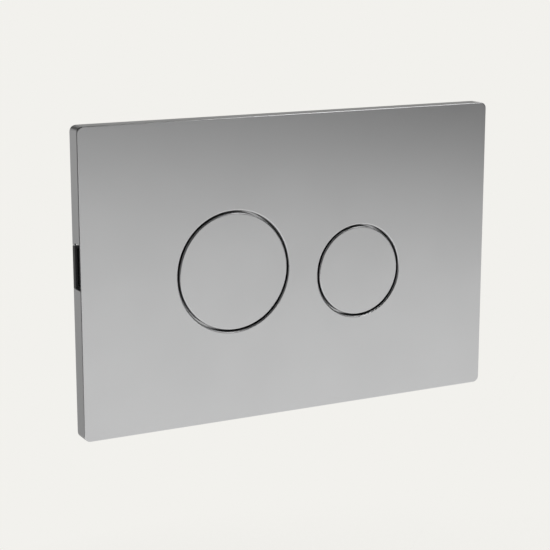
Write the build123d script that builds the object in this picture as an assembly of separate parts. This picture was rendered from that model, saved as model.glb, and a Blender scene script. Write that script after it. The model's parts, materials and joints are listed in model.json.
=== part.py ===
from build123d import *
import os

# Flush button plate for a concealed cistern: cover, two buttons, their carrier and the frame on the wall.
# All sizes are in millimetres. Each piece is drawn lying face up: X runs to the right, Y up the wall, and Z is the
# height off the wall face, so a piece inside the wall has a negative height. stand_up() turns it to face -Y.

# Cover plate
PLATE_WIDTH = 246.0
PLATE_HEIGHT = 164.0
PLATE_DEPTH = 10.0
CORNER_RADIUS = 3.4
FRONT_WALL = 2.4
SIDE_WALL = 2.2
INNER_CORNER = 1.2
EDGE_ROUND = 0.5
HOLE_ROUND = 0.75

# Release notch in the left side of the cover with a foot at its upper end, and the frame's ledge and tool pocket
NOTCH_LENGTH = 24.0
NOTCH_CENTRE = 10.2
NOTCH_LIP = 0.4
FOOT_LENGTH = 1.3
FOOT_WALL = 0.9
LEDGE_CLEARANCE = 0.9
LEDGE_DROP = 0.75
LEDGE_RIM = 1.2
POCKET_DEPTH = 2.2
POCKET_WIDTH = 8.0

# Buttons: the lower edges of the two are level
FULL_RADIUS = 31.75
HALF_RADIUS = 24.75
BUTTON_SPACE = 20.15
PAIR_OFFSET = -1.475
FULL_RISE = 0.0
RIM_GAP = 1.1
BUTTON_ROUND = 0.75
CAP_THICKNESS = 2.4
SKIRT_WALL = 1.6
RETAINER_WIDTH = 2.85
RETAINER_THICKNESS = 1.6
HUB_RADIUS = 6.0
HUB_PROTRUSION = 2.0
RIB_COUNT = 6
RIB_THICKNESS = 1.4
RIB_DEPTH = 2.0
RIB_START_GAP = 1.5
TRAVEL = 5.0

# Rubber bumper between a button's retainer and the cover
BUMPER_THICKNESS = 2.4
BUMPER_CLEARANCE = 0.2

# Return springs
WIRE_RADIUS = 0.6
SPRING_TURNS = 6.5
SPRING_END_TURNS = 1.0
SPRING_RESERVE = 2.8
COIL_GAP = 0.06
SPRING_CLEARANCE = 1.0
SEAT_GAP = 0.1

# Rounding round the back of the carrier's cups and of the mounting frame
MOULD_ROUND = 0.8

# Button carrier
WEB_THICKNESS = 2.0
WEB_LAP = 5.0
CUP_CLEARANCE = 0.6
CUP_WALL = 1.8
CUP_FLOOR_THICKNESS = 2.0
GUIDE_CLEARANCE = 0.3
BUSH_WALL = 1.7
BUSH_RISE = 6.0
BUSH_DROP = 4.0
GUSSET_COUNT = 6
GUSSET_REACH = 7.0
GUSSET_THICKNESS = 1.4
HOOK_THICKNESS = 2.0
HOOK_WIDTH = 14.0
HOOK_SPACING = 50.0
HOOK_CLEARANCE = 0.4
BARB_REACH = 1.4
BARB_HEIGHT = 2.4

# Carrier screws and the bosses that they bite in
SCREW_RADIUS = 1.45
SCREW_CLEARANCE = 0.05
SCREW_BITE = 0.4
SCREW_HEAD_RADIUS = 2.75
SCREW_HEAD_HEIGHT = 1.8
SCREW_INSET = 6.0
DRIVE_LENGTH = 3.2
DRIVE_WIDTH = 0.8
DRIVE_DEPTH = 1.0
PILOT_ROOM = 0.4
BOSS_WALL = 1.8

# Mounting frame
FLANGE_THICKNESS = 3.0
FRAME_CLEARANCE = 0.4
FRAME_CORNER = 2.0
COLLAR_WALL = 2.0
COLLAR_CORNER = 6.0
FRAME_FLOOR = 2.0
CUP_MARGIN = 2.3
WINDOW_MARGIN = 6.0
WINDOW_CORNER = 5.0
FLOOR_RIM = 10.0
NUT_MARGIN = 2.0
NUT_ROOM = 3.8

# Fixing bolts with their thumb nuts and washers
STUD_RADIUS = 3.0
STUD_REACH = 70.0
BOLT_RADIUS = 4.0
BOLT_END = 1.0
BOLT_COLLAR_RADIUS = 7.5
BOLT_COLLAR_THICKNESS = 2.0
THREAD_CLEARANCE = 0.05
SLOT_CLEARANCE = 0.3
SLOT_TRAVEL = 5.4
NUT_RADIUS = 9.0
NUT_THICKNESS = 7.0
NUT_LOBES = 8
SCALLOP_RADIUS = 2.2
SCALLOP_DEPTH = 1.2
NUT_CHAMFER = 0.5
WASHER_RADIUS = 8.5
WASHER_THICKNESS = 1.2
WASHER_CLEARANCE = 0.3
TIP_CHAMFER = 0.6

# Push rods and lock nuts
ROD_THREAD_RADIUS = 3.0
ROD_SHANK_RADIUS = 2.65
ROD_REACH = 62.0
ROD_ENGAGEMENT = 18.0
ROD_THREAD_TAIL = 3.0
ROD_TIP_ROOM = 0.5
LOCK_NUT_ACROSS_FLATS = 10.0
LOCK_NUT_THICKNESS = 5.0
LOCK_NUT_CHAMFER = 0.5

# Heights off the wall face that several pieces share
COVER_INNER = PLATE_DEPTH - FRONT_WALL
CAP_UNDERSIDE = PLATE_DEPTH - CAP_THICKNESS
RETAINER_TOP = COVER_INNER - BUMPER_THICKNESS
RETAINER_BOTTOM = RETAINER_TOP - RETAINER_THICKNESS
WEB_BACK = FLANGE_THICKNESS
WEB_FRONT = WEB_BACK + WEB_THICKNESS
SPRING_SPACE = SPRING_TURNS * 2 * WIRE_RADIUS + TRAVEL + SPRING_RESERVE
CUP_FLOOR = CAP_UNDERSIDE - SPRING_SPACE
CUP_BACK = CUP_FLOOR - CUP_FLOOR_THICKNESS
BUSH_BOTTOM = CUP_BACK - BUSH_DROP
HUB_BOTTOM = BUSH_BOTTOM - HUB_PROTRUSION
NUT_TOP = WEB_BACK - NUT_ROOM - BOLT_END
WASHER_TOP = NUT_TOP - NUT_THICKNESS
FLOOR_FRONT = WASHER_TOP - WASHER_THICKNESS
FLOOR_BACK = FLOOR_FRONT - FRAME_FLOOR
SCREW_TIP = COVER_INNER + SCREW_BITE

# Button centres
PAIR_WIDTH = 2 * FULL_RADIUS + BUTTON_SPACE + 2 * HALF_RADIUS
FULL_X = PAIR_OFFSET - PAIR_WIDTH / 2 + FULL_RADIUS
HALF_X = PAIR_OFFSET + PAIR_WIDTH / 2 - HALF_RADIUS
HALF_RISE = FULL_RISE - (FULL_RADIUS - HALF_RADIUS)
FULL_PLACE = Pos(FULL_X, FULL_RISE, 0)
HALF_PLACE = Pos(HALF_X, HALF_RISE, 0)

# Radii about a button's axis
BUSH_INNER = HUB_RADIUS + GUIDE_CLEARANCE
BUSH_OUTER = BUSH_INNER + BUSH_WALL
SPRING_RADIUS = BUSH_OUTER + SPRING_CLEARANCE + WIRE_RADIUS
CUP_GROWTH = RETAINER_WIDTH + CUP_CLEARANCE
FULL_CUP_OUTER = FULL_RADIUS + CUP_GROWTH + CUP_WALL
HALF_CUP_OUTER = HALF_RADIUS + CUP_GROWTH + CUP_WALL

# Half sizes of the frame, laid out from the cups outwards
CUP_REACH = max(FULL_CUP_OUTER - FULL_X, HALF_X + HALF_CUP_OUTER)
CUP_RISE = max(FULL_CUP_OUTER + abs(FULL_RISE), HALF_CUP_OUTER + abs(HALF_RISE))
WINDOW_HALF_X = CUP_REACH + CUP_MARGIN + HOOK_THICKNESS + HOOK_CLEARANCE
WINDOW_HALF_Y = CUP_RISE + WINDOW_MARGIN
BOLT_X = WINDOW_HALF_X + NUT_RADIUS + NUT_MARGIN
TRAY_HALF_X = BOLT_X + NUT_RADIUS + NUT_MARGIN
TRAY_HALF_Y = WINDOW_HALF_Y + FLOOR_RIM
SCREW_X = TRAY_HALF_X - SCREW_INSET
SCREW_Y = TRAY_HALF_Y - SCREW_INSET
SCREW_PLACES = [Pos(x, y, 0) for y in (-SCREW_Y, SCREW_Y) for x in (-SCREW_X, 0, SCREW_X)]


def stand_up(shape):
    """Turn a piece that is drawn face up so that it faces -Y, with Z up."""
    return Rot(90, 0, 0) * shape


def disc(radius, low, high):
    """Round bar about the Z axis between two heights."""
    return Pos(0, 0, low) * Cylinder(radius, high - low, align=(Align.CENTER, Align.CENTER, Align.MIN))


def tube(inner, outer, low, high):
    """Round tube about the Z axis between two heights."""
    return disc(outer, low, high) - disc(inner, low, high)


def slab(half_x, half_y, low, high, corner):
    """Plate with rounded corners between two heights."""
    return Pos(0, 0, low) * extrude(RectangleRounded(2 * half_x, 2 * half_y, corner), high - low)


def block(x_span, y_span, z_span):
    """Box from its lowest and highest X, Y and Z."""
    size = [high - low for low, high in (x_span, y_span, z_span)]
    corner = Pos(x_span[0], y_span[0], z_span[0])
    return corner * Box(*size, align=(Align.MIN, Align.MIN, Align.MIN))


def fused(first, others):
    """Union of a solid and a list of further solids."""
    return first.fuse(*others)


def softened(moulding):
    """Moulding with its back outline rounded."""
    return fillet(moulding.faces().sort_by(Axis.Z)[0].edges(), MOULD_ROUND)


def notch_cut():
    """Space that the release notch takes out of the cover's left wall, without the foot at its upper end."""
    edge = -PLATE_WIDTH / 2
    outside = edge - SIDE_WALL
    low = NOTCH_CENTRE - NOTCH_LENGTH / 2
    high = NOTCH_CENTRE + NOTCH_LENGTH / 2
    space = block((outside, edge + SIDE_WALL), (low, high), (0, PLATE_DEPTH - NOTCH_LIP))
    return space - block((outside, edge + FOOT_WALL), (high - FOOT_LENGTH, high), (0, FLANGE_THICKNESS))


def cover_plate():
    """Plated shell with two button holes, screw bosses inside and the release notch."""
    half_x = PLATE_WIDTH / 2
    half_y = PLATE_HEIGHT / 2
    shell = slab(half_x, half_y, 0, PLATE_DEPTH, CORNER_RADIUS)
    shell = fillet(shell.faces().sort_by(Axis.Z)[-1].edges(), EDGE_ROUND)
    shell -= slab(half_x - SIDE_WALL, half_y - SIDE_WALL, 0, COVER_INNER, INNER_CORNER)
    boss_radius = SCREW_RADIUS + SCREW_CLEARANCE + BOSS_WALL
    shell = fused(shell, [place * disc(boss_radius, WEB_FRONT, COVER_INNER) for place in SCREW_PLACES])
    for place, radius in ((FULL_PLACE, FULL_RADIUS), (HALF_PLACE, HALF_RADIUS)):
        shell -= place * disc(radius + RIM_GAP, COVER_INNER, PLATE_DEPTH)
    hole_edges = shell.faces().sort_by(Axis.Z)[-1].inner_wires().edges()
    shell = fillet(hole_edges, HOLE_ROUND)
    for place in SCREW_PLACES:
        shell -= place * disc(SCREW_RADIUS + SCREW_CLEARANCE, WEB_FRONT, SCREW_TIP + PILOT_ROOM)
    return shell - notch_cut()


def button(radius):
    """Cap with skirt, retainer, ribs and a hub that is bored for the push rod."""
    inner = radius - SKIRT_WALL
    bore = ROD_THREAD_RADIUS + THREAD_CLEARANCE
    bore_top = HUB_BOTTOM + ROD_ENGAGEMENT + ROD_TIP_ROOM
    outline = Polyline(
        (0, PLATE_DEPTH),
        (radius, PLATE_DEPTH),
        (radius, RETAINER_TOP),
        (radius + RETAINER_WIDTH, RETAINER_TOP),
        (radius + RETAINER_WIDTH, RETAINER_BOTTOM),
        (inner, RETAINER_BOTTOM),
        (inner, CAP_UNDERSIDE),
        (HUB_RADIUS, CAP_UNDERSIDE),
        (HUB_RADIUS, HUB_BOTTOM),
        (bore, HUB_BOTTOM),
        (bore, bore_top),
        (0, bore_top),
        close=True,
    )
    body = revolve(Plane.XZ * make_face(outline), Axis.Z)
    body = fillet(body.faces().sort_by(Axis.Z)[-1].edges(), BUTTON_ROUND)
    rib_start = SPRING_RADIUS + WIRE_RADIUS + RIB_START_GAP
    rib_end = inner + SKIRT_WALL / 2
    rib_top = CAP_UNDERSIDE + CAP_THICKNESS / 2
    half = RIB_THICKNESS / 2
    rib = block((rib_start, rib_end), (-half, half), (CAP_UNDERSIDE - RIB_DEPTH, rib_top))
    return fused(body, [turn * rib for turn in PolarLocations(0, RIB_COUNT)])


def bumper(radius):
    """Rubber ring that lies on a button's retainer, out of sight behind the edge of the cover's hole."""
    inner = radius + RIM_GAP + BUMPER_CLEARANCE
    outer = radius + RETAINER_WIDTH - BUMPER_CLEARANCE
    return tube(inner, outer, RETAINER_TOP, COVER_INNER)


def return_spring():
    """Compression spring with closed ends between the cup floor and the underside of the cap."""
    seat = WIRE_RADIUS + SEAT_GAP
    end_rise = SPRING_END_TURNS * (2 * WIRE_RADIUS + COIL_GAP)
    middle_rise = SPRING_SPACE - 2 * seat - 2 * end_rise
    middle_turns = SPRING_TURNS - 2 * SPRING_END_TURNS
    stretches = ((SPRING_END_TURNS, end_rise), (middle_turns, middle_rise), (SPRING_END_TURNS, end_rise))
    coils = []
    turned = 0
    height = CUP_FLOOR + seat
    for turns, rise in stretches:
        start = Pos(0, 0, height) * Rot(0, 0, 360 * turned)
        coils.append(start * Helix(rise / turns, rise, SPRING_RADIUS))
        turned += turns
        height += rise
    path = Wire([coil.edge() for coil in coils])
    section = Plane(origin=path @ 0, z_dir=path % 0) * Circle(WIRE_RADIUS)
    return sweep(section, path, is_frenet=True)


def push_rod():
    """Rod with a threaded end in the hub and a plain shank back to the valve."""
    top = HUB_BOTTOM + ROD_ENGAGEMENT
    thread_end = HUB_BOTTOM - LOCK_NUT_THICKNESS - ROD_THREAD_TAIL
    rod = disc(ROD_THREAD_RADIUS, thread_end, top) + disc(ROD_SHANK_RADIUS, -ROD_REACH, thread_end)
    ends = rod.faces().filter_by(Plane.XY).sort_by(Axis.Z)
    return chamfer(ends[0].edges() + ends[-1].edges(), TIP_CHAMFER)


def lock_nut():
    """Hexagon nut with turned-off corners on the push rod, tight against the hub."""
    corner_radius = LOCK_NUT_ACROSS_FLATS / 3**0.5
    low = HUB_BOTTOM - LOCK_NUT_THICKNESS
    prism = Pos(0, 0, low) * extrude(RegularPolygon(corner_radius, 6), LOCK_NUT_THICKNESS)
    barrel = disc(corner_radius + LOCK_NUT_CHAMFER, low, HUB_BOTTOM)
    barrel = chamfer(barrel.faces().filter_by(Plane.XY).edges(), 2 * LOCK_NUT_CHAMFER)
    return (prism & barrel) - disc(ROD_THREAD_RADIUS + THREAD_CLEARANCE, low, HUB_BOTTOM)


def guide_cup(outer):
    """Outside of a cup, filled, with its guide bush and gussets behind it."""
    cup = softened(disc(outer, CUP_BACK, WEB_BACK))
    bush = disc(BUSH_OUTER, BUSH_BOTTOM, CUP_BACK)
    root = BUSH_INNER + BUSH_WALL / 2
    triangle = Polyline(
        (root, CUP_BACK),
        (BUSH_OUTER + GUSSET_REACH, CUP_BACK),
        (BUSH_OUTER, BUSH_BOTTOM),
        (root, BUSH_BOTTOM),
        close=True,
    )
    gusset = extrude(Plane.XZ * make_face(triangle), GUSSET_THICKNESS / 2, both=True)
    return fused(cup, [bush] + [turn * gusset for turn in PolarLocations(0, GUSSET_COUNT)])


def cup_cavity(outer):
    """Space inside a cup: room for the button round the bush, and the bush's bore."""
    room = disc(outer - CUP_WALL, CUP_FLOOR, WEB_FRONT)
    room -= disc(BUSH_OUTER, CUP_FLOOR, CUP_FLOOR + BUSH_RISE)
    return room + disc(BUSH_INNER, BUSH_BOTTOM, CUP_FLOOR + BUSH_RISE)


def snap_hook(y):
    """Springy tongue on the right that catches behind the frame's floor."""
    outer = WINDOW_HALF_X - HOOK_CLEARANCE
    inner = outer - HOOK_THICKNESS
    catch = FLOOR_BACK - HOOK_CLEARANCE
    outline = Polyline(
        (inner, WEB_FRONT),
        (outer, WEB_FRONT),
        (outer, catch),
        (outer + BARB_REACH, catch),
        (outer, catch - BARB_HEIGHT),
        (inner, catch - BARB_HEIGHT),
        close=True,
    )
    return Pos(0, y, 0) * extrude(Plane.XZ * make_face(outline), HOOK_WIDTH / 2, both=True)


def button_carrier():
    """Web with two guide cups and four snap hooks, moulded in one piece."""
    web = slab(TRAY_HALF_X + WEB_LAP, TRAY_HALF_Y + WEB_LAP, WEB_BACK, WEB_FRONT, COLLAR_CORNER)
    right_hooks = [snap_hook(y) for y in (-HOOK_SPACING / 2, HOOK_SPACING / 2)]
    left_hooks = [hook.mirror(Plane.YZ) for hook in right_hooks]
    cups = [FULL_PLACE * guide_cup(FULL_CUP_OUTER), HALF_PLACE * guide_cup(HALF_CUP_OUTER)]
    carrier = fused(web, cups + right_hooks + left_hooks)
    carrier -= FULL_PLACE * cup_cavity(FULL_CUP_OUTER)
    carrier -= HALF_PLACE * cup_cavity(HALF_CUP_OUTER)
    for place in SCREW_PLACES:
        carrier -= place * disc(SCREW_RADIUS + SCREW_CLEARANCE, WEB_BACK, WEB_FRONT)
    return carrier


def carrier_screw():
    """Self-tapping screw with a pan head and a cross recess, its head behind the web."""
    head_low = WEB_BACK - SCREW_HEAD_HEIGHT
    screw = disc(SCREW_HEAD_RADIUS, head_low, WEB_BACK) + disc(SCREW_RADIUS, WEB_BACK, SCREW_TIP)
    screw = fillet(screw.faces().sort_by(Axis.Z)[0].edges(), SCREW_HEAD_HEIGHT / 3)
    bar = (-DRIVE_LENGTH / 2, DRIVE_LENGTH / 2)
    width = (-DRIVE_WIDTH / 2, DRIVE_WIDTH / 2)
    depth = (head_low, head_low + DRIVE_DEPTH)
    return screw - block(bar, width, depth) - block(width, bar, depth)


def bolt_slot():
    """Upright slot in the frame's floor that lets the frame be set level."""
    width = 2 * (BOLT_RADIUS + SLOT_CLEARANCE)
    slot = Rot(0, 0, 90) * SlotOverall(width + SLOT_TRAVEL, width)
    return Pos(0, 0, FLOOR_BACK) * extrude(slot, FRAME_FLOOR)


def mounting_frame():
    """Flange on the wall, pocketed ledge in the release notch, and a tray sunk into the wall opening."""
    flange_x = PLATE_WIDTH / 2 - SIDE_WALL - FRAME_CLEARANCE
    flange_y = PLATE_HEIGHT / 2 - SIDE_WALL - FRAME_CLEARANCE
    flange = softened(slab(flange_x, flange_y, 0, FLANGE_THICKNESS, FRAME_CORNER))
    half = NOTCH_LENGTH / 2 - LEDGE_CLEARANCE
    middle = NOTCH_CENTRE - LEDGE_DROP
    edge = -PLATE_WIDTH / 2
    ledge = block((edge, -flange_x + SIDE_WALL), (middle - half, middle + half), (0, FLANGE_THICKNESS))
    pocket_start = edge + LEDGE_RIM
    pocket_half = half - LEDGE_RIM
    pocket = block(
        (pocket_start, pocket_start + POCKET_WIDTH),
        (middle - pocket_half, middle + pocket_half),
        (FLANGE_THICKNESS - POCKET_DEPTH, FLANGE_THICKNESS),
    )
    collar_corner = COLLAR_CORNER + COLLAR_WALL
    collar = slab(TRAY_HALF_X + COLLAR_WALL, TRAY_HALF_Y + COLLAR_WALL, FLOOR_BACK, 0, collar_corner)
    frame = fused(flange, [ledge, softened(collar)]) - pocket
    frame -= slab(TRAY_HALF_X, TRAY_HALF_Y, FLOOR_FRONT, FLANGE_THICKNESS, COLLAR_CORNER)
    frame -= slab(WINDOW_HALF_X, WINDOW_HALF_Y, FLOOR_BACK, FLOOR_FRONT, WINDOW_CORNER)
    for x in (-BOLT_X, BOLT_X):
        frame -= Pos(x, 0, 0) * bolt_slot()
    return frame


def fixing_bolt():
    """Stepped stud: thick thread for the thumb nut, collar behind the floor, thin thread to the cistern."""
    collar_back = FLOOR_BACK - BOLT_COLLAR_THICKNESS
    front = disc(BOLT_RADIUS, FLOOR_BACK, NUT_TOP + BOLT_END)
    collar = disc(BOLT_COLLAR_RADIUS, collar_back, FLOOR_BACK)
    bolt = fused(disc(STUD_RADIUS, -STUD_REACH, collar_back), [collar, front])
    ends = bolt.faces().filter_by(Plane.XY).sort_by(Axis.Z)
    return chamfer(ends[0].edges() + ends[-1].edges(), TIP_CHAMFER)


def thumb_nut():
    """Round nut with a scalloped grip, clamped on the washer."""
    nut = disc(NUT_RADIUS, WASHER_TOP, NUT_TOP)
    nut = chamfer(nut.faces().filter_by(Plane.XY).edges(), NUT_CHAMFER)
    nut -= disc(BOLT_RADIUS + THREAD_CLEARANCE, WASHER_TOP, NUT_TOP)
    scallop = disc(SCALLOP_RADIUS, WASHER_TOP, NUT_TOP)
    for turn in PolarLocations(NUT_RADIUS + SCALLOP_RADIUS - SCALLOP_DEPTH, NUT_LOBES):
        nut -= turn * scallop
    return nut


def washer():
    """Flat washer over the bolt slot."""
    return tube(BOLT_RADIUS + WASHER_CLEARANCE, WASHER_RADIUS, FLOOR_FRONT, WASHER_TOP)


def all_pieces():
    """Every piece by name, still drawn face up."""
    pieces = {
        "cover_plate": cover_plate(),
        "button_carrier": button_carrier(),
        "carrier_screws": Compound(children=[place * carrier_screw() for place in SCREW_PLACES]),
        "mounting_frame": mounting_frame(),
    }
    for name, place, radius in (("full", FULL_PLACE, FULL_RADIUS), ("half", HALF_PLACE, HALF_RADIUS)):
        pieces[f"{name}_flush_button"] = place * button(radius)
        pieces[f"{name}_flush_bumper"] = place * bumper(radius)
        pieces[f"{name}_flush_spring"] = place * return_spring()
        pieces[f"{name}_flush_push_rod"] = place * push_rod()
        pieces[f"{name}_flush_lock_nut"] = place * lock_nut()
    for side, x in (("left", -BOLT_X), ("right", BOLT_X)):
        pieces[f"fixing_bolt_{side}"] = Pos(x, 0, 0) * fixing_bolt()
        pieces[f"thumb_nut_{side}"] = Pos(x, 0, 0) * thumb_nut()
        pieces[f"washer_{side}"] = Pos(x, 0, 0) * washer()
    return pieces


os.makedirs("parts", exist_ok=True)
for node, piece in all_pieces().items():
    export_step(stand_up(piece), f"parts/{node}.step")
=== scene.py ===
import json
from math import ceil, hypot, pi, radians

import bmesh
import bpy
from bpy.props import FloatProperty, FloatVectorProperty, IntProperty, PointerProperty
from bpy.types import Operator, Panel, PropertyGroup
from mathutils import Matrix, Vector


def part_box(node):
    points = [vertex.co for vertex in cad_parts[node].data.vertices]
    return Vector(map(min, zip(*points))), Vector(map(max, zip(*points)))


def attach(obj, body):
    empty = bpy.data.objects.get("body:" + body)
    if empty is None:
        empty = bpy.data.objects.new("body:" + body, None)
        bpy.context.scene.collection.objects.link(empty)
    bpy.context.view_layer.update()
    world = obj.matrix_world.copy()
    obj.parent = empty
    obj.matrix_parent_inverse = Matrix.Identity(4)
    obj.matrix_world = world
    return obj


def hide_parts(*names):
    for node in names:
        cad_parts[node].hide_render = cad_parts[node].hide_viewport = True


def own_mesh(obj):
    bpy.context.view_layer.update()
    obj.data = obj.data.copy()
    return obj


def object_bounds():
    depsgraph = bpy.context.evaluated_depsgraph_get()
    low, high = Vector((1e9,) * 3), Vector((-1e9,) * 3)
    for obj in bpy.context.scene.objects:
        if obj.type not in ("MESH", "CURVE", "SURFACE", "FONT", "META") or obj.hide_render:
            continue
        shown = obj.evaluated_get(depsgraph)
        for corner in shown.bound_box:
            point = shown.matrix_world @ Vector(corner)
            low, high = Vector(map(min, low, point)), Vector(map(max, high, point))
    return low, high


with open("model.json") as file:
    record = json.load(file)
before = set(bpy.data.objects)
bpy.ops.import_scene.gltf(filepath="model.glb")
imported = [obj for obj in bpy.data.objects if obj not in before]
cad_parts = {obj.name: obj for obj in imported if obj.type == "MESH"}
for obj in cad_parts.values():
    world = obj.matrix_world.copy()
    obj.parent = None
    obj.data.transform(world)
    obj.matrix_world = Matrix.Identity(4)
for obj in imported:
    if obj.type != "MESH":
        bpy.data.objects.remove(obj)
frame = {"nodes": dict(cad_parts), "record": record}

bl_info = {
    "name": "Flush Button Plate",
    "version": (1, 0, 0),
    "blender": (4, 5, 0),
    "location": "3D View > Sidebar > Flush Plate",
    "description": "Finishes, springs, threaded hardware and studio for a dual flush button plate",
    "category": "Object",
}

# What the frame gives: the box of the whole part, the mounts and the two buttons with their pieces
CAD_BOX = [list(corner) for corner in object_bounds()]
MOUNTS = {mount["name"]: mount for mount in frame["record"]["mounts"]}
BUTTONS = ("full_flush", "half_flush")
SIDES = ("left", "right")
MILLIMETRE = 0.001

# The pieces are built lying face up, with Z as the height off the wall, and are then stood up to face -Y
STAND_UP = Matrix.Rotation(radians(90), 4, "X")
SHARP_ANGLE = radians(35)
WELD = 5e-6
# Depth of a screw thread as a share of its pitch
THREAD_DEPTH = 0.6134

# The painted shade in the gaps round the buttons starts behind their rounded rims and ends at this depth, clear of
# the plate's own sides
SHADE_START = 0.0006
SHADE_DEPTH = 0.0045
SHADE_SIDE_BAND = 0.0045

# Heights and places of the studio cards that only mirrors show
CEILING = 1.1
BACK_WALL = 0.55
FRONT_WALL = Matrix.Rotation(radians(63.6), 3, "Z") @ Vector((0, -2.14, 0))
FACING_RIGHT, FACING_FRONT, FACING_UP, FACING_DOWN = (1, 0, 0), (0, -1, 0), (0, 0, 1), (0, 0, -1)


class FlushFinishSettings(PropertyGroup):
    """Colours and gloss of the finishes."""

    chrome: FloatVectorProperty(
        name="Satin Chrome", description="Colour of the plated cover and buttons",
        subtype="COLOR", size=3, min=0, max=1, default=(0.663, 0.671, 0.697))
    chrome_roughness: FloatProperty(
        name="Chrome Roughness", description="How matt the satin plating is",
        subtype="FACTOR", min=0, max=1, default=0.286)
    # Painted shade: the chrome's base colour on the gap walls round the buttons is multiplied by this share
    painted_gap_shade: FloatProperty(
        name="Painted Gap Shade", description="Share of the plating's brightness that is left in the gaps round the buttons",
        subtype="FACTOR", min=0, max=1, default=0.3)
    black: FloatVectorProperty(
        name="Black Plastic", description="Colour of the carrier and the mounting frame",
        subtype="COLOR", size=3, min=0, max=1, default=(0.038, 0.038, 0.040))
    grey: FloatVectorProperty(
        name="Grey Plastic", description="Colour of the thumb nuts",
        subtype="COLOR", size=3, min=0, max=1, default=(0.27, 0.28, 0.29))
    zinc: FloatVectorProperty(
        name="Zinc", description="Colour of the plated steel hardware",
        subtype="COLOR", size=3, min=0, max=1, default=(0.60, 0.61, 0.63))
    wire: FloatVectorProperty(
        name="Spring Wire", description="Colour of the spring steel",
        subtype="COLOR", size=3, min=0, max=1, default=(0.46, 0.46, 0.47))
    rubber: FloatVectorProperty(
        name="Rubber", description="Colour of the bumper rings",
        subtype="COLOR", size=3, min=0, max=1, default=(0.026, 0.026, 0.026))


class FlushSpringSettings(PropertyGroup):
    """Wire and winding of the return springs."""

    wire_radius: FloatProperty(
        name="Wire Radius", description="Half the thickness of the spring wire",
        unit="LENGTH", min=0.0001, default=0.0006)
    turns: FloatProperty(
        name="Turns", description="Turns of the whole spring", min=2.5, default=6.5)
    end_turns: FloatProperty(
        name="End Turns", description="Closed turns at each end", min=0.25, default=1.0)
    coil_gap: FloatProperty(
        name="Coil Gap", description="Space between the closed turns",
        unit="LENGTH", min=0, default=0.00006)
    segments: IntProperty(
        name="Segments", description="Steps of the winding in one turn", min=12, default=48)
    wire_segments: IntProperty(
        name="Wire Segments", description="Corners of the wire's section", min=6, default=14)


class FlushThreadSettings(PropertyGroup):
    """Threads and turned steps of the fixing bolts and push rods."""

    stud_pitch: FloatProperty(
        name="Stud Pitch", description="Pitch of the thin thread on bolts and rods",
        unit="LENGTH", min=0.0002, default=0.001)
    bolt_radius: FloatProperty(
        name="Bolt Radius", description="Outer radius of the thick thread under the thumb nut",
        unit="LENGTH", min=0.001, default=0.004)
    bolt_pitch: FloatProperty(
        name="Bolt Pitch", description="Pitch of the thick thread",
        unit="LENGTH", min=0.0002, default=0.00125)
    collar_thickness: FloatProperty(
        name="Collar Thickness", description="Thickness of the bolt's collar behind the frame",
        unit="LENGTH", min=0.0005, default=0.002)
    rod_tail: FloatProperty(
        name="Rod Tail", description="Thread that shows behind a lock nut",
        unit="LENGTH", min=0, default=0.003)
    chamfer: FloatProperty(
        name="Chamfer", description="Chamfer at the tips of bolts and rods",
        unit="LENGTH", min=0, default=0.0006)
    collar_round: FloatProperty(
        name="Collar Edge", description="Broken edge of the bolt's collar",
        unit="LENGTH", min=0, default=0.0003)
    segments: IntProperty(
        name="Segments", description="Steps of a thread in one turn", min=12, default=40)


class FlushStageSettings(PropertyGroup):
    """Camera, floor, backdrop and lights."""

    camera_place: FloatVectorProperty(
        name="Camera", description="Where the camera stands",
        subtype="XYZ", unit="LENGTH", size=3, default=(-0.39832, -0.74748, 0.17898))
    camera_target: FloatVectorProperty(
        name="Target", description="What the camera looks at",
        subtype="XYZ", unit="LENGTH", size=3, default=(-0.006646, 0.0, -0.006772))
    lens: FloatProperty(
        name="Lens", description="Focal length in millimetres", min=1, default=103.56)
    backdrop: FloatVectorProperty(
        name="Backdrop", description="Colour of the floor and the backdrop",
        subtype="COLOR", size=3, min=0, max=1, default=(0.888, 0.880, 0.847))
    floor_drop: FloatProperty(
        name="Floor Drop", description="How far the floor lies below the plate's centre",
        unit="LENGTH", min=0.1, default=0.3)
    floor_radius: FloatProperty(
        name="Floor Radius", description="Half the width of the floor",
        unit="LENGTH", min=1, default=14.0)
    ambient: FloatProperty(
        name="Ambient", description="Strength of the soft light from all round", min=0, default=0.75)
    key_power: FloatProperty(
        name="Key Light", description="Power of the large lamp above", unit="POWER", min=0, default=6.0)
    fill_power: FloatProperty(
        name="Back Light", description="Power of the lamp behind", unit="POWER", min=0, default=4.0)
    flag_tone: FloatProperty(
        name="Flag Tone", description="Grey level of the dark flags", min=0, max=1, default=0.04)
    softbox: FloatProperty(
        name="Softbox", description="Brightness of the softbox over the top edge", min=0, default=3.0)


def group_nodes(name, sockets_in, sockets_out):
    """New shader node group with float or vector sockets, and its input and output nodes."""
    tree = bpy.data.node_groups.new(name, "ShaderNodeTree")
    for socket, kind, default in sockets_in:
        made = tree.interface.new_socket(socket, in_out="INPUT", socket_type=kind)
        if default is not None:
            made.default_value = default
    for socket in sockets_out:
        tree.interface.new_socket(socket, in_out="OUTPUT", socket_type="NodeSocketFloat")
    return tree, tree.nodes.new("NodeGroupInput"), tree.nodes.new("NodeGroupOutput")


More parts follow.
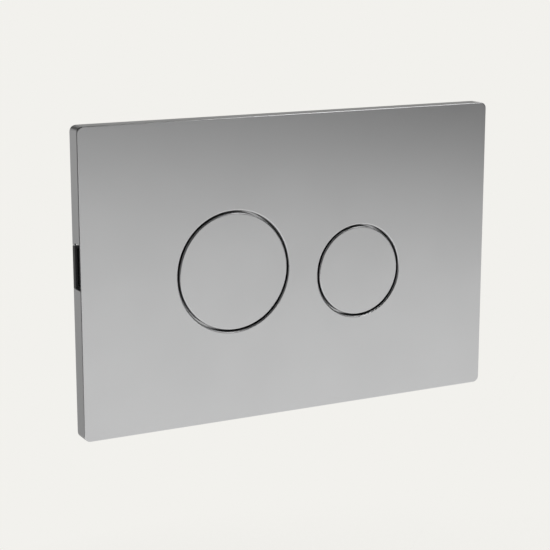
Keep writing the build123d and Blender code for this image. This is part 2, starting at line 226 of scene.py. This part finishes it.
def soft_mottle():
    """Shared group: a soft cloudy value between a low and a high limit."""
    name = "Soft mottle"
    if name in bpy.data.node_groups:
        return bpy.data.node_groups[name]
    tree, given, out = group_nodes(
        name,
        (("Vector", "NodeSocketVector", None), ("Scale", "NodeSocketFloat", 20.0),
         ("Low", "NodeSocketFloat", 0.0), ("High", "NodeSocketFloat", 1.0)),
        ("Value",))
    noise = tree.nodes.new("ShaderNodeTexNoise")
    noise.inputs["Detail"].default_value = 3.0
    noise.inputs["Roughness"].default_value = 0.55
    spread = tree.nodes.new("ShaderNodeMapRange")
    spread.interpolation_type = "SMOOTHSTEP"
    spread.inputs["From Min"].default_value = 0.3
    spread.inputs["From Max"].default_value = 0.7
    tree.links.new(given.outputs["Vector"], noise.inputs["Vector"])
    tree.links.new(given.outputs["Scale"], noise.inputs["Scale"])
    tree.links.new(noise.outputs["Fac"], spread.inputs["Value"])
    tree.links.new(given.outputs["Low"], spread.inputs["To Min"])
    tree.links.new(given.outputs["High"], spread.inputs["To Max"])
    tree.links.new(spread.outputs["Result"], out.inputs["Value"])
    return tree


def fine_grain():
    """Shared group: a fine surface height from two sizes of grain."""
    name = "Fine grain"
    if name in bpy.data.node_groups:
        return bpy.data.node_groups[name]
    tree, given, out = group_nodes(
        name,
        (("Vector", "NodeSocketVector", None), ("Scale", "NodeSocketFloat", 2000.0),
         ("Coarse share", "NodeSocketFloat", 0.4)),
        ("Height",))
    coarse_scale = tree.nodes.new("ShaderNodeMath")
    coarse_scale.operation = "MULTIPLY"
    coarse_scale.inputs[1].default_value = 0.3
    grains = []
    for source in (given.outputs["Scale"], coarse_scale.outputs["Value"]):
        grain = tree.nodes.new("ShaderNodeTexNoise")
        grain.inputs["Detail"].default_value = 1.0
        tree.links.new(given.outputs["Vector"], grain.inputs["Vector"])
        tree.links.new(source, grain.inputs["Scale"])
        grains.append(grain)
    blend = tree.nodes.new("ShaderNodeMix")
    tree.links.new(given.outputs["Scale"], coarse_scale.inputs[0])
    tree.links.new(given.outputs["Coarse share"], blend.inputs["Factor"])
    tree.links.new(grains[0].outputs["Fac"], blend.inputs["A"])
    tree.links.new(grains[1].outputs["Fac"], blend.inputs["B"])
    tree.links.new(blend.outputs["Result"], out.inputs["Height"])
    return tree


class Finish:
    """A material under construction: its Principled shader and the object coordinates that feed it."""

    def __init__(self, name, metallic):
        self.material = bpy.data.materials.new(name)
        self.material.use_nodes = True
        self.tree = self.material.node_tree
        self.shader = self.tree.nodes["Principled BSDF"]
        self.shader.inputs["Metallic"].default_value = metallic
        self.place = self.tree.nodes.new("ShaderNodeTexCoord").outputs["Object"]

    def group(self, tree, **values):
        """Place a shared group on the object coordinates, with its own values."""
        node = self.tree.nodes.new("ShaderNodeGroup")
        node.node_tree = tree
        self.tree.links.new(self.place, node.inputs["Vector"])
        for socket, value in values.items():
            node.inputs[socket.replace("_", " ")].default_value = value
        return node

    def colour(self, light, shade, scale):
        """Drift of the base colour from a tint to a darker share of it."""
        mask = self.group(soft_mottle(), Scale=scale)
        mix = self.tree.nodes.new("ShaderNodeMix")
        mix.data_type = "RGBA"
        mix.inputs["A"].default_value = (*light, 1)
        mix.inputs["B"].default_value = (*(shade * part for part in light), 1)
        self.tree.links.new(mask.outputs["Value"], mix.inputs["Factor"])
        self.tree.links.new(mix.outputs["Result"], self.shader.inputs["Base Color"])

    def paint_gap_shade(self, share, front, reach_x, reach_z):
        """Painted shade: darker base colour on the walls of the gaps behind the front, within a reach from its
        centre.
        """
        axes = self.tree.nodes.new("ShaderNodeSeparateXYZ")
        self.tree.links.new(self.place, axes.inputs["Vector"])
        behind = self.tree.nodes.new("ShaderNodeMapRange")
        behind.inputs["From Min"].default_value = front + SHADE_START
        behind.inputs["From Max"].default_value = front + 2 * SHADE_START
        self.tree.links.new(axes.outputs["Y"], behind.inputs["Value"])
        mask = behind.outputs["Result"]
        for axis, centre, limit in (("X", 0.0, reach_x), ("Y", front, SHADE_DEPTH), ("Z", 0.0, reach_z)):
            inside = self.math("COMPARE", axes.outputs[axis], centre)
            inside.inputs[2].default_value = limit
            mask = self.math("MULTIPLY", inside.outputs["Value"], mask).outputs["Value"]
        base = self.shader.inputs["Base Color"]
        # Painted shade: the base colour is multiplied by the share inside the mask
        painted_shade_mix = self.tree.nodes.new("ShaderNodeMix")
        painted_shade_mix.data_type = "RGBA"
        painted_shade_mix.blend_type = "MULTIPLY"
        painted_shade_mix.inputs["B"].default_value = (share, share, share, 1)
        self.tree.links.new(mask, painted_shade_mix.inputs["Factor"])
        self.tree.links.new(base.links[0].from_socket, painted_shade_mix.inputs["A"])
        self.tree.links.new(painted_shade_mix.outputs["Result"], base)

    def math(self, operation, first, second):
        """Math node on a socket and a second socket or number."""
        node = self.tree.nodes.new("ShaderNodeMath")
        node.operation = operation
        self.tree.links.new(first, node.inputs[0])
        if isinstance(second, float):
            node.inputs[1].default_value = second
        else:
            self.tree.links.new(second, node.inputs[1])
        return node

    def gloss(self, low, high, scale):
        """Drift of the roughness between two limits."""
        value = self.group(soft_mottle(), Scale=scale, Low=low, High=high)
        self.tree.links.new(value.outputs["Value"], self.shader.inputs["Roughness"])

    def grain(self, scale, strength, depth, coarse=0.4):
        """Fine bump of the surface."""
        height = self.group(fine_grain(), Scale=scale, Coarse_share=coarse)
        bump = self.tree.nodes.new("ShaderNodeBump")
        bump.inputs["Strength"].default_value = strength
        bump.inputs["Distance"].default_value = depth
        self.tree.links.new(height.outputs["Height"], bump.inputs["Height"])
        self.tree.links.new(bump.outputs["Normal"], self.shader.inputs["Normal"])


def satin_chrome(settings):
    """Velvety chrome plating of the cover and buttons, with painted shade that darkens it on the walls of the gaps
    round the buttons.
    """
    finish = Finish("satin_chrome_plating", metallic=1.0)
    finish.colour(settings.chrome, shade=0.985, scale=14.0)
    (_, front, _), (side, _, top) = CAD_BOX
    # Painted shade darkens the chrome on the walls of the gaps round the buttons
    finish.paint_gap_shade(settings.painted_gap_shade, front, side - SHADE_SIDE_BAND, top - SHADE_SIDE_BAND)
    finish.gloss(settings.chrome_roughness - 0.008, settings.chrome_roughness + 0.008, scale=30.0)
    finish.grain(scale=3000.0, strength=0.05, depth=0.00002)
    return finish.material


def black_moulding(settings):
    """Spark-textured black plastic."""
    finish = Finish("black_moulded_plastic", metallic=0.0)
    finish.colour(settings.black, shade=0.8, scale=45.0)
    finish.gloss(0.36, 0.48, scale=60.0)
    finish.grain(scale=1800.0, strength=0.35, depth=0.00006, coarse=0.55)
    return finish.material


def grey_moulding(settings):
    """Plain grey plastic of the thumb nuts."""
    finish = Finish("grey_moulded_plastic", metallic=0.0)
    finish.colour(settings.grey, shade=0.88, scale=90.0)
    finish.gloss(0.42, 0.55, scale=120.0)
    finish.grain(scale=2200.0, strength=0.25, depth=0.00005)
    return finish.material


def zinc_plate(settings):
    """Bright zinc plating with a faint cloudiness, made once for all the hardware."""
    name = "zinc_plated_steel"
    if name in bpy.data.materials:
        return bpy.data.materials[name]
    finish = Finish(name, metallic=0.8)
    finish.colour(settings.zinc, shade=0.92, scale=220.0)
    finish.gloss(0.32, 0.42, scale=190.0)
    finish.grain(scale=2600.0, strength=0.08, depth=0.00002)
    return finish.material


def spring_wire(settings):
    """Drawn spring steel."""
    finish = Finish("drawn_spring_steel", metallic=1.0)
    finish.colour(settings.wire, shade=0.75, scale=320.0)
    finish.gloss(0.22, 0.36, scale=240.0)
    finish.grain(scale=3200.0, strength=0.1, depth=0.00002)
    return finish.material


def matt_rubber(settings):
    """Black rubber with a faint grey bloom."""
    finish = Finish("black_rubber", metallic=0.0)
    finish.colour(settings.rubber, shade=0.6, scale=150.0)
    finish.gloss(0.70, 0.88, scale=110.0)
    finish.grain(scale=1500.0, strength=0.3, depth=0.00005)
    return finish.material


def dress(material, *nodes):
    """Give frame nodes a finish in place of their plain one."""
    for node in nodes:
        slots = frame["nodes"][node].material_slots
        if not slots:
            raise RuntimeError(f"{node} has no material slot to dress")
        for slot in slots:
            slot.material = material


def turning_place(node):
    """Where the axis of a turned or wound node stands, and the heights of its back and front."""
    low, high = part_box(node)
    axis = Matrix.Translation(((low.x + high.x) / 2, 0, (low.z + high.z) / 2))
    return axis @ STAND_UP, -high.y, -low.y


def half_width(node):
    """Outer radius of a round node."""
    low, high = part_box(node)
    return (high.x - low.x) / 2


def add_piece(name, shape, place, material, body, replaced):
    """Close a mesh into a piece that stands for a frame node and rides on its body."""
    bmesh.ops.remove_doubles(shape, verts=shape.verts[:], dist=WELD)
    bmesh.ops.recalc_face_normals(shape, faces=shape.faces[:])
    bmesh.ops.transform(shape, matrix=place, verts=shape.verts[:])
    for face in shape.faces:
        face.smooth = True
    mesh = bpy.data.meshes.new(name)
    shape.to_mesh(mesh)
    shape.free()
    mesh.set_sharp_from_angle(angle=SHARP_ANGLE)
    mesh.materials.append(material)
    piece = bpy.data.objects.new(name, mesh)
    bpy.context.scene.collection.objects.link(piece)
    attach(piece, body)
    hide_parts(replaced)
    return piece


def close_loop(shape, loop):
    """Flat face over an open loop of edges."""
    bmesh.ops.contextual_create(shape, geom=loop)


def loop_at(shape, height):
    """Open edges that lie at a height."""
    return [
        edge for edge in shape.edges
        if edge.is_boundary and all(abs(vert.co.z - height) < WELD for vert in edge.verts)
    ]


def turned_steps(shape, loop, steps):
    """Carry an open loop on through turned steps of radius and height, and give the last loop."""
    for radius, height in steps:
        made = bmesh.ops.extrude_edge_only(shape, edges=loop)["geom"]
        ring = {item for item in made if isinstance(item, bmesh.types.BMVert)}
        for vert in ring:
            flat = vert.co.xy.normalized() * radius
            vert.co = (flat.x, flat.y, height)
        loop = [item for item in made if isinstance(item, bmesh.types.BMEdge) and set(item.verts) <= ring]
    return loop


def cut_thread(shape, radius, pitch, low, high, segments):
    """Screw thread about Z between two heights, open at both ends."""
    root = radius - THREAD_DEPTH * pitch
    start = low - 1.5 * pitch
    profile = ((root, 0), (root, 1 / 4), (radius, 9 / 16), (radius, 11 / 16), (root, 1))
    corners = [shape.verts.new((r, 0, start + share * pitch)) for r, share in profile]
    edges = [shape.edges.new(pair) for pair in zip(corners, corners[1:])]
    turns = ceil((high - low) / pitch) + 2
    bmesh.ops.spin(
        shape, geom=corners + edges, axis=(0, 0, 1), cent=(0, 0, 0),
        dvec=(0, 0, pitch / segments), angle=2 * pi * turns, steps=turns * segments)
    bmesh.ops.remove_doubles(shape, verts=shape.verts[:], dist=WELD)
    for height, outside in ((low, -1), (high, 1)):
        bmesh.ops.bisect_plane(
            shape, geom=shape.verts[:] + shape.edges[:] + shape.faces[:], dist=WELD,
            plane_co=(0, 0, height), plane_no=(0, 0, outside), clear_outer=True)


def joined(first, second):
    """Take a second open mesh into the first."""
    carried = bpy.data.meshes.new("carried")
    second.to_mesh(carried)
    second.free()
    first.from_mesh(carried)
    bpy.data.meshes.remove(carried)


def taper_tip(shape, tip, radius, chamfer):
    """Turn a chamfer on everything near a tip."""
    for vert in shape.verts:
        limit = radius - chamfer + abs(vert.co.z - tip)
        reach = hypot(vert.co.x, vert.co.y)
        if reach > limit and abs(vert.co.z - tip) < chamfer:
            vert.co.x *= limit / reach
            vert.co.y *= limit / reach


class FLUSH_OT_cover_and_buttons(Operator):
    """Give the cover plate and both buttons their satin chrome"""

    bl_idname = "flush_plate.cover_and_buttons"
    bl_label = "Plate Cover and Buttons"

    def execute(self, context):
        dress(satin_chrome(context.scene.flush_finish), "cover_plate", *(f"{name}_button" for name in BUTTONS))
        return {"FINISHED"}


class FLUSH_OT_mouldings(Operator):
    """Give the button carrier and the mounting frame their black plastic"""

    bl_idname = "flush_plate.mouldings"
    bl_label = "Finish Mouldings"

    def execute(self, context):
        dress(black_moulding(context.scene.flush_finish), "button_carrier", "mounting_frame")
        return {"FINISHED"}


class FLUSH_OT_bumpers(Operator):
    """Give the bumper rings their rubber"""

    bl_idname = "flush_plate.bumpers"
    bl_label = "Finish Bumpers"

    def execute(self, context):
        dress(matt_rubber(context.scene.flush_finish), *(f"{name}_bumper" for name in BUTTONS))
        return {"FINISHED"}


class FLUSH_OT_fasteners(Operator):
    """Finish the thumb nuts, washers, lock nuts and carrier screws"""

    bl_idname = "flush_plate.fasteners"
    bl_label = "Finish Fasteners"

    def execute(self, context):
        settings = context.scene.flush_finish
        dress(grey_moulding(settings), *(f"thumb_nut_{side}" for side in SIDES))
        washers = [f"washer_{side}" for side in SIDES]
        lock_nuts = [f"{name}_lock_nut" for name in BUTTONS]
        dress(zinc_plate(settings), "carrier_screws", *washers, *lock_nuts)
        return {"FINISHED"}


class FLUSH_OT_return_springs(Operator):
    """Wind the return springs with closed ends"""

    bl_idname = "flush_plate.return_springs"
    bl_label = "Wind Return Springs"

    def execute(self, context):
        settings = context.scene.flush_spring
        material = spring_wire(context.scene.flush_finish)
        for name in BUTTONS:
            self.wind(name, settings, material)
        return {"FINISHED"}

    def wind(self, name, settings, material):
        """One spring, wound with closed ends in place of its frame node; the real spring shortens towards the cup
        floor when its button is pressed, but this mesh is fixed to the plate and does not.
        """
        node = f"{name}_spring"
        place, low, high = turning_place(node)
        wire = settings.wire_radius
        coil = half_width(node) - wire
        end_rise = settings.end_turns * (2 * wire + settings.coil_gap)
        middle_rise = high - low - 2 * wire - 2 * end_rise
        middle_turns = settings.turns - 2 * settings.end_turns
        shape = bmesh.new()
        section = Matrix.Translation((coil, 0, low + wire)) @ Matrix.Rotation(radians(90), 4, "X")
        ring = bmesh.ops.create_circle(
            shape, cap_ends=False, segments=settings.wire_segments, radius=wire, matrix=section)["verts"]
        first = list({edge for vert in ring for edge in vert.link_edges})
        last = ring + first
        stretches = ((settings.end_turns, end_rise), (middle_turns, middle_rise), (settings.end_turns, end_rise))
        for turns, rise in stretches:
            steps = round(turns * settings.segments)
            last = bmesh.ops.spin(
                shape, geom=last, axis=(0, 0, 1), cent=(0, 0, 0), dvec=(0, 0, rise / steps),
                angle=2 * pi * turns, steps=steps)["geom_last"]
        close_loop(shape, first)
        close_loop(shape, [item for item in last if isinstance(item, bmesh.types.BMEdge)])
        piece = add_piece(f"{name}_coil", shape, place, material, "plate", node)
        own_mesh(piece)


class FLUSH_OT_fixing_bolts(Operator):
    """Cut the stepped fixing bolts with their two threads and collar"""

    bl_idname = "flush_plate.fixing_bolts"
    bl_label = "Cut Fixing Bolts"

    def execute(self, context):
        settings = context.scene.flush_thread
        material = zinc_plate(context.scene.flush_finish)
        for side in SIDES:
            self.cut(side, settings, material)
        return {"FINISHED"}

    def cut(self, side, settings, material):
        """One bolt: thin thread to the cistern, collar behind the frame, thick thread for the thumb nut."""
        node = f"fixing_bolt_{side}"
        place, back, front = turning_place(node)
        stud = MOUNTS["fixing_studs"]["dims"]["stud_r_mm"] * MILLIMETRE
        collar = half_width(node)
        collar_front = -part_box("mounting_frame")[1].y
        collar_back = collar_front - settings.collar_thickness
        edge = settings.collar_round
        shape = bmesh.new()
        cut_thread(shape, settings.bolt_radius, settings.bolt_pitch, collar_front, front, settings.segments)
        taper_tip(shape, front, settings.bolt_radius, settings.chamfer)
        thin = bmesh.new()
        cut_thread(thin, stud, settings.stud_pitch, back, collar_back, settings.segments)
        taper_tip(thin, back, stud, settings.chamfer)
        joined(shape, thin)
        rim = turned_steps(shape, loop_at(shape, collar_back), (
            (collar - edge, collar_back), (collar, collar_back + edge),
            (collar, collar_front - edge), (collar - edge, collar_front)))
        thick = [item for item in loop_at(shape, collar_front) if item not in rim]
        bmesh.ops.bridge_loops(shape, edges=rim + thick)
        close_loop(shape, loop_at(shape, front))
        close_loop(shape, loop_at(shape, back))
        add_piece(f"{node}_threaded", shape, place, material, "plate", node)


class FLUSH_OT_push_rods(Operator):
    """Cut the push rods with a threaded end and a plain shank"""

    bl_idname = "flush_plate.push_rods"
    bl_label = "Cut Push Rods"

    def execute(self, context):
        settings = context.scene.flush_thread
        material = zinc_plate(context.scene.flush_finish)
        for name in BUTTONS:
            self.cut(name, settings, material)
        return {"FINISHED"}

    def cut(self, name, settings, material):
        """One rod, threaded from inside the hub to just behind its lock nut."""
        node = f"{name}_push_rod"
        place, back, front = turning_place(node)
        radius = half_width(node)
        shank = MOUNTS[f"{name}_rod_end"]["dims"]["r_mm"] * MILLIMETRE
        thread_end = -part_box(f"{name}_lock_nut")[1].y - settings.rod_tail
        chamfer = settings.chamfer
        shape = bmesh.new()
        cut_thread(shape, radius, settings.stud_pitch, thread_end, front, settings.segments)
        taper_tip(shape, front, radius, chamfer)
        tail = turned_steps(shape, loop_at(shape, thread_end), (
            (shank, thread_end), (shank, back + chamfer), (shank - chamfer, back)))
        close_loop(shape, tail)
        close_loop(shape, loop_at(shape, front))
        add_piece(f"{node}_threaded", shape, place, material, name, node)


def shown_ray(tree):
    """Factor that is 1 for camera, mirrored and transmitted rays and 0 for the light that falls on things."""
    path = tree.nodes.new("ShaderNodeLightPath")
    total = path.outputs["Is Camera Ray"]
    for kind in ("Is Glossy Ray", "Is Transmission Ray"):
        either = tree.nodes.new("ShaderNodeMath")
        either.operation = "MAXIMUM"
        tree.links.new(total, either.inputs[0])
        tree.links.new(path.outputs[kind], either.inputs[1])
        total = either.outputs["Value"]
    return total


def soft_world(settings):
    """World that shows the backdrop's colour and lights from all round at a plain level."""
    world = bpy.data.worlds.new("studio")
    world.use_nodes = True
    tree = world.node_tree
    light = tree.nodes["Background"]
    light.inputs["Color"].default_value = (1, 1, 1, 1)
    light.inputs["Strength"].default_value = settings.ambient
    shown = tree.nodes.new("ShaderNodeBackground")
    shown.inputs["Color"].default_value = (*settings.backdrop, 1)
    mix = tree.nodes.new("ShaderNodeMixShader")
    tree.links.new(shown_ray(tree), mix.inputs["Fac"])
    tree.links.new(light.outputs["Background"], mix.inputs[1])
    tree.links.new(shown.outputs["Background"], mix.inputs[2])
    tree.links.new(mix.outputs["Shader"], tree.nodes["World Output"].inputs["Surface"])
    return world


def floor_material(settings):
    """Pale floor that shows the backdrop's colour, with a painted shadow from ambient occlusion where the plate
    stands close over it.
    """
    material = bpy.data.materials.new("pale_floor")
    material.use_nodes = True
    tree = material.node_tree
    tree.nodes.remove(tree.nodes["Principled BSDF"])
    matt = tree.nodes.new("ShaderNodeBsdfDiffuse")
    matt.inputs["Color"].default_value = (*settings.backdrop, 1)
    # Painted shadow: the floor's shown colour is darkened by ambient occlusion under the plate
    near = tree.nodes.new("ShaderNodeAmbientOcclusion")
    near.inputs["Color"].default_value = (*settings.backdrop, 1)
    near.inputs["Distance"].default_value = 1.5 * settings.floor_drop
    shown = tree.nodes.new("ShaderNodeEmission")
    mix = tree.nodes.new("ShaderNodeMixShader")
    tree.links.new(near.outputs["Color"], shown.inputs["Color"])
    tree.links.new(shown_ray(tree), mix.inputs["Fac"])
    tree.links.new(matt.outputs["BSDF"], mix.inputs[1])
    tree.links.new(shown.outputs["Emission"], mix.inputs[2])
    tree.links.new(mix.outputs["Shader"], tree.nodes["Material Output"].inputs["Surface"])
    return material


def card_material(name, tint, low_tone, high_tone, low=0.0, high=1.0):
    """Even studio card whose tone, as a share of the tint, may run from one to another between two heights."""
    material = bpy.data.materials.new(name)
    material.use_nodes = True
    tree = material.node_tree
    tree.nodes.remove(tree.nodes["Principled BSDF"])
    place = tree.nodes.new("ShaderNodeTexCoord")
    axes = tree.nodes.new("ShaderNodeSeparateXYZ")
    ramp = tree.nodes.new("ShaderNodeMapRange")
    ramp.inputs["From Min"].default_value = low
    ramp.inputs["From Max"].default_value = high
    ramp.inputs["To Min"].default_value = low_tone
    ramp.inputs["To Max"].default_value = high_tone
    shown = tree.nodes.new("ShaderNodeEmission")
    shown.inputs["Color"].default_value = (*tint, 1)
    tree.links.new(place.outputs["Object"], axes.inputs["Vector"])
    tree.links.new(axes.outputs["Z"], ramp.inputs["Value"])
    tree.links.new(ramp.outputs["Result"], shown.inputs["Strength"])
    tree.links.new(shown.outputs["Emission"], tree.nodes["Material Output"].inputs["Surface"])
    return material


def stage_sheet(name, width, height, place, material):
    """Flat stage sheet, drawn about the origin and put in its place in the mesh."""
    shape = bmesh.new()
    bmesh.ops.create_grid(shape, x_segments=1, y_segments=1, size=0.5)
    bmesh.ops.scale(shape, vec=(width, height, 1), verts=shape.verts[:])
    bmesh.ops.transform(shape, matrix=place, verts=shape.verts[:])
    mesh = bpy.data.meshes.new(name)
    shape.to_mesh(mesh)
    shape.free()
    mesh.materials.append(material)
    sheet = bpy.data.objects.new(name, mesh)
    bpy.context.scene.collection.objects.link(sheet)
    return sheet


def studio_card(name, centre, facing, width, height, material):
    """Card that only mirrors show, facing along a direction."""
    turn = Vector(facing).to_track_quat("Z", "Y").to_matrix().to_4x4()
    card = stage_sheet(name, width, height, Matrix.Translation(centre) @ turn, material)
    card.visible_camera = False
    card.visible_diffuse = False
    card.visible_transmission = False
    card.visible_volume_scatter = False
    card.visible_shadow = False


def soft_lamp(name, place, size, power):
    """Large square lamp aimed at the plate, which lights without showing in the metal."""
    lamp = bpy.data.lights.new(name, "AREA")
    lamp.shape = "SQUARE"
    lamp.size = size
    lamp.energy = power
    holder = bpy.data.objects.new(name, lamp)
    holder.location = place
    holder.rotation_euler = (-Vector(place)).to_track_quat("-Z", "Y").to_euler()
    holder.visible_glossy = False
    bpy.context.scene.collection.objects.link(holder)


class FLUSH_OT_stage(Operator):
    """Set up the floor, studio cards, lamps, world and camera"""

    bl_idname = "flush_plate.stage"
    bl_label = "Set Up Stage"

    def execute(self, context):
        settings = context.scene.flush_stage
        scene = context.scene
        scene.world = soft_world(settings)
        scene.view_settings.view_transform = "Standard"
        floor = -settings.floor_drop
        stage_sheet(
            "floor", 2 * settings.floor_radius, 2 * settings.floor_radius,
            Matrix.Translation((0, 0, floor)), floor_material(settings))
        self.flags(settings, floor)
        soft_lamp("key_lamp", place=(0.9, -0.9, 1.4), size=1.0, power=settings.key_power)
        soft_lamp("back_lamp", place=(0.7, 1.2, 1.2), size=0.8, power=settings.fill_power)
        self.camera(settings, scene)
        return {"FINISHED"}

    def flags(self, settings, floor):
        """Dark flags, grey cards and a softbox round the plate, which shape the reflections in the chrome."""
        tint = settings.backdrop
        black = card_material("black_flag", tint, 0.01, 0.01)
        dark = card_material("dark_flag", tint, settings.flag_tone, settings.flag_tone)
        dim = card_material("dim_card", tint, 0.08, 0.08)
        glow = card_material("softbox", tint, settings.softbox, settings.softbox)
        wall = FRONT_WALL
        studio_card("front_flag", (wall.x, wall.y, floor + 0.75), -wall, 14.0, 1.5, dark)
        studio_card("left_flag", (-0.62, -1.15, floor + 0.7), FACING_RIGHT, 2.9, 1.4, dim)
        studio_card("ceiling_flag", (-1.35, -0.75, CEILING), FACING_DOWN, 2.3, 6.5, black)
        studio_card("ceiling_card", (0.15, -0.75, CEILING), FACING_DOWN, 0.7, 6.5, dim)
        studio_card("softbox", (0.64, -0.2, CEILING), FACING_DOWN, 0.28, 1.2, glow)
        studio_card("back_flag", (-0.4, 0.62, 0.7), FACING_FRONT, 2.4, 1.0, dark)
        spans = (("left", -1.6, -0.12, 0.235, 0.484), ("right", -0.12, 1.6, 0.31, 0.462))
        for side, start, end, top, tone in spans:
            grey = card_material(f"grey_card_{side}", tint, 0.415, tone, low=-0.22, high=-0.02)
            middle = ((start + end) / 2, BACK_WALL, (floor + top) / 2)
            studio_card(f"back_card_{side}", middle, FACING_FRONT, end - start, top - floor, grey)
        studio_card("floor_card", (-0.3, 0.41, floor + 0.001), FACING_UP, 1.4, 0.27, grey)

    def camera(self, settings, scene):
        """Camera at the photograph's viewing angle."""
        camera = bpy.data.objects.new("camera", bpy.data.cameras.new("camera"))
        camera.data.lens = settings.lens
        camera.location = settings.camera_place
        aim = Vector(settings.camera_target) - Vector(settings.camera_place)
        camera.rotation_euler = aim.to_track_quat("-Z", "Y").to_euler()
        scene.collection.objects.link(camera)
        scene.camera = camera


OPERATORS = (
    FLUSH_OT_cover_and_buttons,
    FLUSH_OT_mouldings,
    FLUSH_OT_bumpers,
    FLUSH_OT_fasteners,
    FLUSH_OT_return_springs,
    FLUSH_OT_fixing_bolts,
    FLUSH_OT_push_rods,
    FLUSH_OT_stage,
)
SETTINGS = {
    "flush_finish": FlushFinishSettings,
    "flush_spring": FlushSpringSettings,
    "flush_thread": FlushThreadSettings,
    "flush_stage": FlushStageSettings,
}


class FLUSH_PT_plate(Panel):
    """Sizes, colours and steps of the flush button plate"""

    bl_idname = "FLUSH_PT_plate"
    bl_label = "Flush Button Plate"
    bl_space_type = "VIEW_3D"
    bl_region_type = "UI"
    bl_category = "Flush Plate"

    def draw(self, context):
        for name, kind in SETTINGS.items():
            box = self.layout.box()
            for prop in kind.__annotations__:
                box.prop(getattr(context.scene, name), prop)
        for operator in OPERATORS:
            self.layout.operator(operator.bl_idname)


CLASSES = (*SETTINGS.values(), *OPERATORS, FLUSH_PT_plate)


def register():
    for kind in CLASSES:
        bpy.utils.register_class(kind)
    for name, kind in SETTINGS.items():
        setattr(bpy.types.Scene, name, PointerProperty(type=kind))


def unregister():
    for name in SETTINGS:
        delattr(bpy.types.Scene, name)
    for kind in reversed(CLASSES):
        bpy.utils.unregister_class(kind)


def main():
    register()
    for operator in OPERATORS:
        step = operator.bl_idname.split(".")[1]
        getattr(bpy.ops.flush_plate, step)()


if __name__ == "__main__":
    main()
